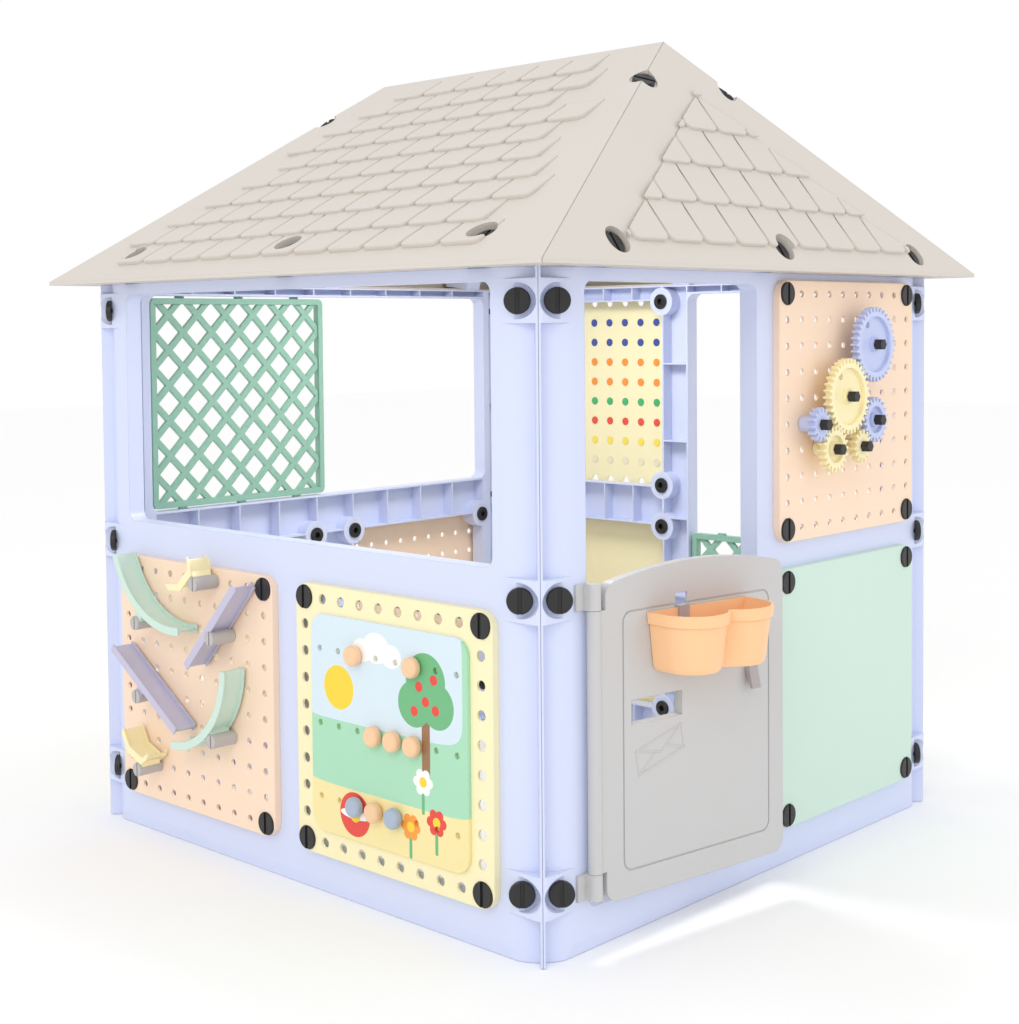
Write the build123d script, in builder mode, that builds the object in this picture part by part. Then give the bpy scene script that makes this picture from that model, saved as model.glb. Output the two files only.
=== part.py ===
"""Plastic playhouse: four moulded wall frames, activity boards, a hip roof, a half door and toys.

Millimetres, +Z up. The origin is on the floor, at the centre of the four walls.
The door wall faces -Y, and the wall with the picture and the ramps faces -X.
"""
import os
from math import atan2, cos, degrees, hypot, pi, radians, sin, sqrt

from build123d import *

# ---------------------------------------------------------------- driving dimensions
wall_half = 517.0          # from the house's centre to the outer face of a wall
wall_top = 936.0           # height of the walls
wall_depth = 30.0          # from the outer face to the inner edge of the rims
skin = 4.0                 # moulded wall thickness
rib = 3.0                  # thickness of the ribs inside the channels
corner_radius = 68.0       # rounded corner columns
foot_bevel = 3.0           # bevel along a wall's bottom edge: inwards and upwards
foot_rise = 20.0
seam_flange = 3.5          # thickness of the flange along a corner seam
seam_gap = 0.2             # half the gap between two walls at a corner
seam_nose = 7.0            # how far the seam's nose is in from the sharp corner

pitch = 41.0               # hole pitch of the boards, both ways
holes = 10                 # holes along a board's side
board_margin = 21.0        # from the corner hole to the board's edge
board_corner = 26.0        # corner radius of a board
board_proud = 13.0         # how far a board's face stands out of the wall
board_plate = 4.0          # thickness of a board's face
board_rim = 4.0            # thickness of a board's edge
board_middle = 234.5       # from the wall's middle to a board's middle
lower_middle = 267.5       # height of a lower board's middle
upper_middle = 719.5       # height of an upper board's middle
big_hole_radius = 7.8      # peg holes of the yellow boards
small_hole_radius = 5.6    # peg holes of the peach boards

opening_top = 918.0        # top edge of the windows and doorways
window_sill = 530.0
window_half = 430.0
door_sill = 60.0
door_near = -16.0          # doorway's edge beside the boards, along the wall
door_far = -424.0          # doorway's edge beside the corner column
opening_corner = 16.0      # corner radius of the openings

head_radius = 18.0         # slotted screws
head_thickness = 8.0
shank_radius = 6.0
screw_sink = 5.0           # how deep a screw head sits in a board
slot_width = 5.5
slot_depth = 3.0
shank_play = 0.3           # radial clearance of a shank in a plain hole
thread_play = 0.05         # radial clearance of a shank in its nut
nut_radius = 11.0
nut_flange_radius = 15.0
nut_flange = 4.0
nut_post_radius = 27.0     # posts in the wall that hold the nuts
post_margin = 1.0          # between a post and the channels around it

corner_heights = (94.0, 491.0, 890.5)   # the corner screws' heights
corner_side = 26.7         # corner screw's distance from the seam
corner_seat = 31.0         # corner screw's seat, in from the sharp corner
corner_pocket_radius = 24.0
corner_block = 47.0        # back of the corner blocks, in from the sharp corner
corner_block_half = 30.0   # half the height of a corner block
bracket_thickness = 6.0
bracket_width = 80.0
bracket_height = 44.0
corner_bracket_end = 58.0  # end of a corner bracket's sleeves, in from the sharp corner
board_shank = 34.0         # length of a board screw below its seat

eave_half = 576.0          # from the house's centre to the eave
eave_top = 942.0
ridge_top = 1312.0
ridge_half = 330.0         # half the ridge's length
roof_skin = 5.0
soffit = 4.0
roof_seam = 0.2            # half the gap between two roof panels
roof_pocket_radius = 22.0
roof_pocket_depth = 14.0
roof_pocket_floor = 4.0
side_screw_x = 509.0       # where the screws pierce the long slopes
side_screw_y = 410.0
end_screw_y = 556.0        # where the screws pierce the end slopes
end_screw_x = 400.0
hip_screw_x = 109.0        # where the screws pierce the hips
roof_lug_half = 20.0
roof_shank = 22.0          # screw length below its seat
soffit_reach = 76.0        # how far the soffit reaches in from the eave
lug_notch = 20.0           # notch in the soffit around a lug

hinge_x = -424.0           # door hinge axis
hinge_y = -530.0
door_ajar = 8.0            # how far the door stands open, in degrees
door_left = 15.0           # the door's edges, from the hinge axis
door_right = 373.0
door_bottom = 67.0
door_shoulder = 505.0      # height of the door's top at its two sides
door_crown = 525.0         # height of the door's top at its middle
door_front = 7.0           # door's front face, out from the hinge axis
door_thickness = 16.0
knuckle_radius = 10.0
knuckle_height = 36.0
knuckle_levels = (93.0, 490.0)
knuckle_gap = 0.5          # between a hinge eye and the door's pivot edge
pin_radius = 4.0
hinge_play = 0.06
pin_depth = 30.0           # how far a pin reaches into the door
leaf_reach = 26.0
leaf_thickness = 4.0
door_corner = 20.0
door_rib_pitch = 110.0
groove_width = 2.5
groove_depth = 1.5
panel_left = 46.0          # the grooved panel's edges on the door
panel_right = 343.0
panel_bottom = 104.0
panel_top = 466.0
panel_corner = 16.0
letter_slot = (62.0, 306.0, 161.0, 341.0, rib)   # its edges and the frame around it

big_teeth = 34
middle_teeth = 20
small_teeth = 14
gear_thickness = 12.0
gear_standoff = 25.0       # between a gear's toothed disc and its board
gear_hub_radius = 12.0
tooth_share = 0.42         # a tooth's share of the pitch, which leaves backlash
axle_radius = 5.5
axle_knob = 13.0           # length of an axle's six-sided knob
spin_play = 0.06

barrel_radius = 11.5
barrel_length = 44.0
barrel_gap = 0.5           # between a board and a barrel
ramp_gap = 4.0             # between a board and a ramp
ramp_floor = 2.5
ramp_wall = 2.5
ramp_below = 5.0           # how far a ramp's walls reach below its floor
ramp_height = 13.0         # height of a ramp's walls
ramp_width = 40.0
ramp_tilt_play = 0.05

bead_radius = 15.0
bead_height = 16.0
bead_stem_radius = 4.5
bead_stem = 5.0
bead_play = 0.2
bead_gap = 0.4             # between a bead and its sheet
bead_rows = (157.0, 268.0, 380.0)
sheet_thickness = 6.0

planter_radius = 56.0      # the planter's two round lobes
planter_left = 91.0        # the planter's ends on the door
planter_right = 292.0
planter_reach = 86.0       # how far it stands out of the door
planter_valley = 64.0      # and how far between its lobes
planter_bottom = 377.0
planter_top = 460.0
planter_wall = 2.5
planter_gap = 1.0          # between the planter and the door
hook_width = 20.0
hook_thickness = 3.0
hook_x = 160.0
hook_rest = 0.4            # clearance under the hook, where it rests
hook_leg = 45.0
hook_slot_top = 480.0      # the slot in the door's face that takes the hook
hook_slot_bottom = 425.0
planter_rim = 20.0
planter_lip = 6.0          # how far the rim band stands out from the lobes
handle_x = 290.0
handle_width = 18.0
handle_top = 362.0
handle_bottom = 326.0
handle_reach = 16.0

lattice_size = 402.0
lattice_depth = 14.0
lattice_pitch = 64.0
lattice_bar = 11.0
clip_size = 4.0


# ---------------------------------------------------------------- places
def wall_plane(quarter_turns):
    """A wall's outer face: x along the wall, y up, z outwards. 0 is the door wall."""
    turn = radians(90 * quarter_turns)
    outward = Vector(sin(turn), -cos(turn), 0)
    return Plane(origin=outward * wall_half, x_dir=(cos(turn), sin(turn), 0), z_dir=outward)


def on(plane, across, height, proud=0.0):
    """The same plane with its origin moved to a place on it."""
    return Plane(
        origin=plane.from_local_coords((across, height, proud)),
        x_dir=plane.x_dir,
        z_dir=plane.z_dir,
    )


def plan_plane(plane, height=0.0):
    """The floor plan of a wall: x along the wall, y inwards, z up."""
    return Plane(origin=plane.from_local_coords((0, height, 0)), x_dir=plane.x_dir, z_dir=(0, 0, 1))


def corner_plane(side_x, side_y, height):
    """At a sharp corner of the house: z out along the diagonal, x level."""
    return Plane(
        origin=(side_x * wall_half, side_y * wall_half, height),
        x_dir=(-side_y, side_x, 0),
        z_dir=(side_x, side_y, 0),
    )


front = wall_plane(0)
right = wall_plane(1)
back = wall_plane(2)
left = wall_plane(3)

side_names = {(-1, 0): "left", (1, 0): "right", (0, -1): "front", (0, 1): "back"}
board_span = (holes - 1) * pitch
board_size = board_span + 2 * board_margin
first_hole = board_middle - board_span / 2
lower_first = lower_middle - board_span / 2
upper_first = upper_middle - board_span / 2


# ---------------------------------------------------------------- fasteners
def slotted_screw(length):
    """Broad slotted screw. Its seat is at z = 0 and its shank runs down -Z."""
    with BuildPart() as screw:
        Cylinder(head_radius, head_thickness, align=(Align.CENTER, Align.CENTER, Align.MIN))
        chamfer(screw.faces().sort_by(Axis.Z)[-1].edges(), 1.2)
        with Locations((0, 0, head_thickness)):
            Box(
                slot_width,
                2 * head_radius,
                2 * slot_depth,
                mode=Mode.SUBTRACT,
            )
        Cylinder(shank_radius, length, align=(Align.CENTER, Align.CENTER, Align.MAX))
    return screw.part


def hollow_nut(length):
    """Flanged sleeve nut. Its flange sits at z = 0 and its sleeve runs down -Z."""
    with BuildPart() as nut:
        Cylinder(nut_flange_radius, nut_flange, align=(Align.CENTER, Align.CENTER, Align.MIN))
        fillet(nut.faces().sort_by(Axis.Z)[-1].edges(), 1.2)
        Cylinder(nut_radius, length, align=(Align.CENTER, Align.CENTER, Align.MAX))
        Hole(shank_radius + thread_play)
    return nut.part


# ---------------------------------------------------------------- walls
def column_arc(radius):
    """The arc that rounds a corner column, of this radius: its start, middle and end in plan."""
    across, inward = wall_half - corner_radius, corner_radius
    flange_line = sqrt(2) * (seam_gap + seam_flange)
    depth = (2 * inward - flange_line - sqrt(2 * radius**2 - flange_line**2)) / 2
    end = (wall_half - depth - flange_line, depth)
    turn = (atan2(end[1] - inward, end[0] - across) - pi / 2) / 2
    middle = (across + radius * cos(turn), inward + radius * sin(turn))
    return (across, inward - radius), middle, end


def build_wall(face, gaps, boards, cells, column_starts):
    """A wall frame. gaps are its openings and cells the channels between its ribs."""
    arc_start, arc_middle, arc_end = column_arc(corner_radius)
    mitre = sqrt(2) * seam_gap
    flange_line = mitre + sqrt(2) * seam_flange
    nose = sqrt(2) * seam_nose
    nose_outer = (wall_half - (nose + flange_line) / 2, (nose - flange_line) / 2)
    nose_inner = (wall_half - (nose + mitre) / 2, (nose - mitre) / 2)
    with BuildPart() as wall:
        with BuildSketch(plan_plane(face)):
            with BuildLine():
                Line((0, 0), arc_start)
                ThreePointArc(arc_start, arc_middle, arc_end)
                Polyline(
                    arc_end,
                    nose_outer,
                    nose_inner,
                    (wall_half - wall_depth - mitre, wall_depth),
                    (0, wall_depth),
                    (0, 0),
                )
            make_face()
            mirror(about=Plane.YZ)
        extrude(amount=wall_top)
        # bevelled foot
        with BuildSketch(Plane(origin=face.origin, x_dir=-face.z_dir, z_dir=face.x_dir)):
            with BuildLine():
                Polyline(
                    (-1, -1),
                    (foot_bevel, -1),
                    (foot_bevel, 0),
                    (0, foot_rise),
                    (-1, foot_rise),
                    close=True,
                )
            make_face()
        extrude(amount=wall_half, both=True, mode=Mode.SUBTRACT)
        # hollow corner columns, between two rib plates
        for low, high in column_stretches():
            for start, side in ((column_starts[0], -1), (column_starts[1], 1)):
                hollow = column_hollow(start, side)
                with BuildSketch(plan_plane(face, low)):
                    with BuildLine():
                        Polyline(hollow[0], hollow[1], hollow[2])
                        ThreePointArc(hollow[2], hollow[3], hollow[4])
                        Polyline(hollow[4], hollow[5], hollow[0])
                    make_face()
                extrude(amount=high - low, mode=Mode.SUBTRACT)
        # solid blocks behind the corner screws
        back_reach = corner_block * sqrt(2)
        for height in corner_heights:
            with BuildSketch(plan_plane(face, height - corner_block_half)):
                with BuildLine():
                    Polyline(
                        nose_inner,
                        (wall_half - nose, 0),
                        (arc_start[0] - skin, 0),
                        (arc_start[0] - skin, skin),
                        (wall_half - back_reach + skin, skin),
                        (wall_half - (back_reach + mitre) / 2, (back_reach - mitre) / 2),
                        close=True,
                    )
                make_face()
                mirror(about=Plane.YZ)
            extrude(amount=2 * corner_block_half)
        # upstanding lugs under the roof's screws
        steep = abs(face.z_dir.Y) > 0.5
        spread = end_screw_x if steep else side_screw_y
        for along in (-spread, 0, spread):
            side_view = Plane(
                origin=face.from_local_coords((along - roof_lug_half, 0, 0)),
                x_dir=-face.z_dir,
                z_dir=face.x_dir,
            )
            with BuildSketch(side_view):
                with BuildLine():
                    Polyline(*lug_outline(steep), close=True)
                make_face()
            extrude(amount=2 * roof_lug_half)
        for place in screw_places[side_names[round(face.z_dir.X), round(face.z_dir.Y)]]:
            with BuildSketch(on(place, 0, 0, -roof_pocket_depth)):
                Circle(shank_radius + thread_play)
            extrude(amount=-roof_shank - 1, mode=Mode.SUBTRACT)
        # windows, doorways and the gaps behind the boards
        with BuildSketch(face):
            for low_x, low_z, high_x, high_z in gaps:
                with Locations(((low_x + high_x) / 2, (low_z + high_z) / 2)):
                    RectangleRounded(high_x - low_x, high_z - low_z, opening_corner)
        extrude(amount=-wall_depth, mode=Mode.SUBTRACT)
        with BuildSketch(face):
            for middle, height in boards:
                with Locations((middle, height)):
                    Rectangle(board_span + skin, board_span + skin)
                    with GridLocations(board_span, board_span, 2, 2):
                        Circle(nut_post_radius, mode=Mode.SUBTRACT)
        extrude(amount=-wall_depth, mode=Mode.SUBTRACT)
        # ribbed channels, open to the inside
        with BuildSketch(on(face, 0, 0, -skin)):
            for low_x, low_z, high_x, high_z, across, up in cells:
                cell_x = (high_x - low_x + rib) / across
                cell_z = (high_z - low_z + rib) / up
                with Locations(((low_x + high_x) / 2, (low_z + high_z) / 2)):
                    with GridLocations(cell_x, cell_z, across, up):
                        Rectangle(cell_x - rib, cell_z - rib)
            for middle, height in boards:
                with Locations((middle, height)):
                    with GridLocations(board_span, board_span, 2, 2):
                        Circle(nut_post_radius + post_margin, mode=Mode.SUBTRACT)
        extrude(amount=-wall_depth, mode=Mode.SUBTRACT)
        # pockets and holes of the corner screws
        ends = [face.x_dir + face.z_dir, face.z_dir - face.x_dir]
        for end in ends:
            for height in corner_heights:
                corner = corner_plane(round(end.X), round(end.Y), height)
                with BuildSketch(on(corner, 0, 0, -corner_seat)):
                    with Locations((-corner_side, 0), (corner_side, 0)):
                        Circle(corner_pocket_radius)
                extrude(amount=corner_seat + head_radius, mode=Mode.SUBTRACT)
                with BuildSketch(on(corner, 0, 0, -corner_block - skin)):
                    with Locations((-corner_side, 0), (corner_side, 0)):
                        Circle(shank_radius + shank_play)
                extrude(amount=corner_block, mode=Mode.SUBTRACT)
        # holes of the board screws and their nuts
        for middle, height in boards:
            with BuildSketch(on(face, middle, height)):
                with GridLocations(board_span, board_span, 2, 2):
                    Circle(shank_radius + shank_play)
            extrude(amount=-wall_depth, mode=Mode.SUBTRACT)
            with BuildSketch(on(face, middle, height, -skin)):
                with GridLocations(board_span, board_span, 2, 2):
                    Circle(nut_radius + shank_play)
            extrude(amount=-wall_depth, mode=Mode.SUBTRACT)
    return wall.part


def column_stretches():
    """Heights of the hollows in a corner column, parted by a rib between the corner blocks."""
    low, middle, high = corner_heights
    ribs = ((low + middle) / 2, (middle + high) / 2)
    return (
        (skin, ribs[0] - rib / 2),
        (ribs[0] + rib / 2, ribs[1] - rib / 2),
        (ribs[1] + rib / 2, wall_top - skin),
    )


def column_hollow(start, side):
    """Plan of the hollow in a corner column: the column's outline, a wall's thickness in."""
    arc_start, arc_middle, arc_end = column_arc(corner_radius - skin)
    reach = wall_depth + skin
    flange_line = wall_half - arc_end[0] - arc_end[1]
    outline = [
        (start, reach),
        (start, skin),
        arc_start,
        arc_middle,
        arc_end,
        (wall_half - reach - flange_line, reach),
    ]
    return [(side * across, inward) for across, inward in outline]


# ---------------------------------------------------------------- roof geometry
rise = ridge_top - eave_top
side_run = eave_half
end_run = eave_half - ridge_half
side_length = hypot(side_run, rise)
end_length = hypot(end_run, rise)
hip_slope = end_run / side_run


def slope_plane(side_x, side_y, along):
    """On a roof slope at a screw: z out of the slope. One of side_x and side_y is 0."""
    if side_x:
        place = (side_x * side_screw_x, along, ridge_top - side_screw_x * rise / side_run)
        normal = Vector(side_x * rise, 0, side_run)
        return Plane(origin=place, x_dir=(0, 1, 0), z_dir=normal)
    place = (along, side_y * end_screw_y, eave_top + (eave_half - end_screw_y) * rise / end_run)
    normal = Vector(0, side_y * rise, end_run)
    return Plane(origin=place, x_dir=(1, 0, 0), z_dir=normal)


def hip_plane(side_x, side_y):
    """On a hip at its screw: z between the two slopes' outward directions."""
    place = (
        side_x * hip_screw_x,
        side_y * (ridge_half + hip_screw_x * hip_slope),
        ridge_top - hip_screw_x * rise / side_run,
    )
    normal = (
        Vector(side_x * rise, 0, side_run) / side_length
        + Vector(0, side_y * rise, end_run) / end_length
    )
    hip = Vector(side_x * side_run, side_y * end_run, -rise)
    return Plane(origin=place, x_dir=hip, z_dir=normal)


roof_floor = roof_pocket_depth + roof_pocket_floor
screw_places = {
    "front": [slope_plane(0, -1, along) for along in (-end_screw_x, 0, end_screw_x)],
    "back": [slope_plane(0, 1, along) for along in (-end_screw_x, 0, end_screw_x)],
    "left": [slope_plane(-1, 0, along) for along in (-side_screw_y, 0, side_screw_y)],
    "right": [slope_plane(1, 0, along) for along in (-side_screw_y, 0, side_screw_y)],
}
hip_places = [hip_plane(x, y) for x in (-1, 1) for y in (-1, 1)]


def lug_outline(steep):
    """Side view of a wall's lug under an end slope (steep) or a side slope."""
    run = end_run if steep else side_run
    length = end_length if steep else side_length
    if steep:
        pierce = (end_screw_y, eave_top + (eave_half - end_screw_y) * rise / end_run)
    else:
        pierce = (side_screw_x, ridge_top - side_screw_x * rise / side_run)
    seat = roof_floor + seam_gap
    middle = (pierce[0] - seat * rise / length, pierce[1] - seat * run / length)
    step = (roof_lug_half * run / length, roof_lug_half * rise / length)
    low = (middle[0] + step[0], middle[1] - step[1])
    high = (middle[0] - step[0], middle[1] + step[1])
    foot_out = wall_half - skin
    foot_in = wall_half - wall_depth + skin
    points = [(foot_in, wall_top - skin), (foot_out, wall_top - skin)]
    if low[0] > wall_half:
        points.append((foot_out, wall_top + soffit + 1))
    points += [low, high, (min(high[0], foot_in) - 2 * skin, wall_top + 6 * skin)]
    return [(wall_half - reach, height) for reach, height in points]


# ---------------------------------------------------------------- walls in place
boards_side = first_hole + board_span + nut_post_radius + post_margin
window_side = window_half + skin
door_side = -door_far + skin
board_low = (board_middle, lower_middle)
board_high = (board_middle, upper_middle)
other_low = (-board_middle, lower_middle)
rail_near = first_hole - 2 * skin
rail_far = first_hole + board_span + skin
field = (board_span + skin) / 2
low_rail = (2 * skin, lower_middle - field - rib)
middle_rail = (lower_middle + field + rib, upper_middle - field - rib)
high_rail = (upper_middle + field + rib, wall_top - rib)


def door_wall(face):
    """The wall with a doorway beside two boards."""
    gaps = [(door_far, door_sill, door_near, opening_top)]
    cells = [
        (first_hole, low_rail[0], rail_far, low_rail[1], 5, 1),
        (first_hole, middle_rail[0], rail_far, middle_rail[1], 5, 1),
        (first_hole, high_rail[0], rail_far, high_rail[1], 5, 1),
        (door_near + skin, low_rail[0], first_hole - 2 * rib, high_rail[1], 1, 6),
        (door_far, low_rail[0], door_near, door_sill - skin, 5, 1),
        (door_far, opening_top + skin, door_near, high_rail[1], 5, 1),
    ]
    return build_wall(face, gaps, [board_low, board_high], cells, (door_side, boards_side))


def window_wall(face):
    """The wall with a wide window above two boards."""
    gaps = [(-window_half, window_sill, window_half, opening_top)]
    sill_rail = (middle_rail[0], window_sill - skin)
    cells = [
        (-rail_far, low_rail[0], rail_far, low_rail[1], 9, 1),
        (-rail_far, sill_rail[0], rail_far, sill_rail[1], 9, 1),
        (-rail_near, low_rail[1] + rib, rail_near, middle_rail[0] - rib, 1, 5),
        (-window_half, opening_top + skin, window_half, high_rail[1], 9, 1),
    ]
    return build_wall(face, gaps, [board_low, other_low], cells, (boards_side, boards_side))


# ---------------------------------------------------------------- boards
def build_board(face, middle, height, hole_radius):
    """A board with its rim towards the wall. hole_radius is 0 on a plain board."""
    inner = board_size - 2 * board_rim
    with BuildPart() as board:
        with BuildSketch(on(face, middle, height)):
            RectangleRounded(board_size, board_size, board_corner)
        extrude(amount=board_proud)
        outward = Axis(face.origin, face.z_dir)
        fillet(board.faces().sort_by(outward)[-1].edges(), board_plate * 0.6)
        with BuildSketch(on(face, middle, height)):
            RectangleRounded(inner, inner, board_corner - board_rim)
            with GridLocations(board_span, board_span, 2, 2):
                Circle(nut_post_radius - skin, mode=Mode.SUBTRACT)
        extrude(amount=board_proud - board_plate, mode=Mode.SUBTRACT)
        with BuildSketch(on(face, middle, height)):
            with GridLocations(board_span, board_span, 2, 2):
                Circle(shank_radius + shank_play)
            if hole_radius:
                with GridLocations(pitch, pitch, holes, holes):
                    Circle(hole_radius)
                with GridLocations(board_span, board_span, 2, 2):
                    Circle(hole_radius, mode=Mode.SUBTRACT)
                    Circle(shank_radius + shank_play)
        extrude(amount=board_proud, mode=Mode.SUBTRACT)
        with BuildSketch(on(face, middle, height, board_proud - screw_sink)):
            with GridLocations(board_span, board_span, 2, 2):
                Circle(head_radius + shank_play)
        extrude(amount=screw_sink, mode=Mode.SUBTRACT)
    return board.part


# ---------------------------------------------------------------- roof panels
def build_roof_panel(side_x, side_y):
    """One slope of the roof. side_x and side_y point towards its eave."""
    run = side_run if side_x else end_run
    length = side_length if side_x else end_length
    drop = roof_skin * length / run
    inward = Vector(-side_x, -side_y, 0)
    ridge = side_run if side_x else end_run
    section = Plane(
        origin=Vector(side_x * eave_half, side_y * eave_half, 0),
        x_dir=inward,
        z_dir=inward.cross(Vector(0, 0, 1)),
    )
    reach_in = ridge - (roof_seam if side_x else 0)
    slope_at = rise / run
    outer_ridge = (reach_in, eave_top + reach_in * slope_at)
    with BuildPart() as panel:
        # slope, eave lip and soffit
        with BuildSketch(section):
            with BuildLine():
                Polyline(
                    (0, wall_top),
                    (0, eave_top),
                    outer_ridge,
                    (reach_in, outer_ridge[1] - drop),
                    ((wall_top + soffit - eave_top + drop) / slope_at, wall_top + soffit),
                    (soffit_reach, wall_top + soffit),
                    (soffit_reach, wall_top),
                    close=True,
                )
            make_face()
        extrude(amount=eave_half, both=True)
        # bosses for the screw pockets
        places = screw_places[side_names[side_x, side_y]]
        hips = [hip_plane(side_x or other, side_y or other) for other in (-1, 1)]
        for place in places + hips:
            with BuildSketch(place):
                Circle(roof_pocket_radius + skin)
            extrude(amount=-roof_floor)
        with BuildSketch(section):
            with BuildLine():
                Polyline((0, wall_top), (0, eave_top), outer_ridge, (reach_in, wall_top), close=True)
            make_face()
        extrude(amount=eave_half, both=True, mode=Mode.INTERSECT)
        for place in places + hips:
            with BuildSketch(place):
                Circle(roof_pocket_radius)
            extrude(amount=-roof_pocket_depth, mode=Mode.SUBTRACT)
            with BuildSketch(place):
                Circle(shank_radius + shank_play)
            extrude(amount=-roof_floor - skin, mode=Mode.SUBTRACT)
        # mitres along the hips
        for other in (-1, 1):
            corner = Vector(side_x or other, side_y or other, 0)
            along_hip = Vector(corner.X * side_run, corner.Y * end_run, 0)
            away = along_hip.cross(Vector(0, 0, 1)).normalized()
            if away.dot(Vector(side_x, side_y, 0)) < 0:
                away = -away
            hip_start = Vector(0, corner.Y * ridge_half, 0)
            split(bisect_by=Plane(origin=hip_start + away * roof_seam, z_dir=away), keep=Keep.TOP)
        # notches in the soffit for the walls' lugs
        along = end_screw_x if side_y else side_screw_y
        for offset in (-along, 0, along):
            notch = Plane(
                origin=(
                    side_x * (wall_half - skin) + (offset if side_y else 0),
                    side_y * (wall_half - skin) + (offset if side_x else 0),
                    wall_top,
                )
            )
            with BuildSketch(notch):
                width = 2 * (roof_lug_half + 1)
                if side_x:
                    Rectangle(2 * lug_notch, width)
                else:
                    Rectangle(width, 2 * lug_notch)
            extrude(amount=soffit + 1, mode=Mode.SUBTRACT)
    return panel.part


# ---------------------------------------------------------------- lattices
lattice_height = opening_top - window_sill - 2 * clip_size


def build_lattice(face, middle, height):
    """An open lattice panel with a ribbed border and clips at its top and bottom."""
    border = lattice_bar
    inner_x = lattice_size - 2 * border
    inner_z = lattice_height - 2 * border
    middle_plane = on(face, middle, height, -(wall_depth + lattice_depth) / 2)
    with BuildPart() as lattice:
        with BuildSketch(middle_plane):
            RectangleRounded(lattice_size, lattice_height, lattice_bar)
            Rectangle(inner_x, inner_z, mode=Mode.SUBTRACT)
        extrude(amount=lattice_depth)
        with BuildSketch(on(middle_plane, 0, 0, lattice_depth / 4)) as bars:
            reach = lattice_size + lattice_height
            for turn in (45, -45):
                with Locations(Rotation(0, 0, turn)):
                    with GridLocations(lattice_pitch / sqrt(2), 1, 13, 1):
                        Rectangle(lattice_bar, reach)
            RectangleRounded(lattice_size, lattice_height, lattice_bar, mode=Mode.INTERSECT)
        extrude(amount=lattice_depth / 2)
        # clips that grip the wall's opening
        with BuildSketch(on(middle_plane, 0, 0, lattice_depth / 4)):
            with GridLocations(lattice_size / 3, lattice_height + clip_size, 3, 2):
                Rectangle(4 * clip_size, clip_size)
        extrude(amount=lattice_depth / 2)
    return lattice.part


# ---------------------------------------------------------------- door
door_plane = Plane(
    origin=(hinge_x, hinge_y, 0),
    x_dir=(cos(radians(door_ajar)), -sin(radians(door_ajar)), 0),
    z_dir=(-sin(radians(door_ajar)), -cos(radians(door_ajar)), 0),
)
knuckle_edges = [
    level + side * (knuckle_height / 2 + knuckle_gap) for level, side in zip(knuckle_levels, (1, -1))
]
door_back = door_front - door_thickness
hook_slot_half = hook_width / 2 + 2
hook_slot = (hook_x - hook_slot_half, hook_slot_bottom, hook_x + hook_slot_half, hook_slot_top, 0)


def door_outline(margin):
    """The door's arched outline, this far in from its edges: its corners and crown."""
    low = door_bottom + margin
    return [
        (door_left + margin, low),
        (door_left + margin, door_shoulder - margin),
        ((door_left + door_right) / 2, door_crown - margin),
        (door_right - margin, door_shoulder - margin),
        (door_right - margin, low),
    ]


def build_door():
    """Half door: a shell open at the back, with ribs, a letter slot and a pivot edge."""
    with BuildPart() as door:
        for margin, start, amount, mode in (
            (0, door_back, door_thickness, Mode.ADD),
            (skin, door_back, door_thickness - skin, Mode.SUBTRACT),
        ):
            points = door_outline(margin)
            with BuildSketch(on(door_plane, 0, 0, start)) as outline:
                with BuildLine():
                    Polyline(points[1], points[0], points[4], points[3])
                    ThreePointArc(points[1], points[2], points[3])
                make_face()
                fillet(outline.vertices(), door_corner - margin)
            extrude(amount=amount, mode=mode)
        # ribs across the hollow back
        with BuildSketch(on(door_plane, 0, 0, door_back)):
            with Locations(((door_left + door_right) / 2, (door_bottom + door_shoulder) / 2)):
                with GridLocations(door_rib_pitch, 1, 3, 1):
                    Rectangle(rib, door_shoulder - door_bottom - skin)
                with GridLocations(1, door_rib_pitch, 1, 3):
                    Rectangle(door_right - door_left - skin, rib)
        extrude(amount=door_thickness - skin / 2)
        # groove around the panel
        with BuildSketch(on(door_plane, 0, 0, door_front - groove_depth)):
            with Locations(((panel_left + panel_right) / 2, (panel_bottom + panel_top) / 2)):
                RectangleRounded(panel_right - panel_left, panel_top - panel_bottom, panel_corner)
                RectangleRounded(
                    panel_right - panel_left - 2 * groove_width,
                    panel_top - panel_bottom - 2 * groove_width,
                    panel_corner - groove_width,
                    mode=Mode.SUBTRACT,
                )
        extrude(amount=groove_depth, mode=Mode.SUBTRACT)
        # letter slot, framed at the back, and the slot for the planter's hook
        for low_x, low_z, high_x, high_z, frame in (letter_slot, hook_slot):
            place = on(door_plane, (low_x + high_x) / 2, (low_z + high_z) / 2, door_back)
            with BuildSketch(place):
                Rectangle(high_x - low_x + 2 * frame, high_z - low_z + 2 * frame)
            extrude(amount=door_thickness - skin / 2)
            with BuildSketch(place):
                Rectangle(high_x - low_x, high_z - low_z)
            extrude(amount=door_thickness, mode=Mode.SUBTRACT)
        # pivot edge between the two hinges
        low, high = knuckle_edges
        with BuildSketch(Plane(origin=(hinge_x, hinge_y, low), x_dir=door_plane.x_dir)):
            Circle(knuckle_radius)
            with Locations((door_left / 2 + skin / 2, (door_front + door_back) / 2 * -1)):
                Rectangle(door_left + skin, door_thickness)
            Rectangle(4 * knuckle_radius, 4 * knuckle_radius, mode=Mode.INTERSECT)
        extrude(amount=high - low)
        # bores for the hinge pins
        for level, side in zip(knuckle_edges, (1, -1)):
            with BuildSketch(Plane(origin=(hinge_x, hinge_y, level))):
                Circle(pin_radius + hinge_play)
            extrude(amount=side * pin_depth, mode=Mode.SUBTRACT)
    return door.part


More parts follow.
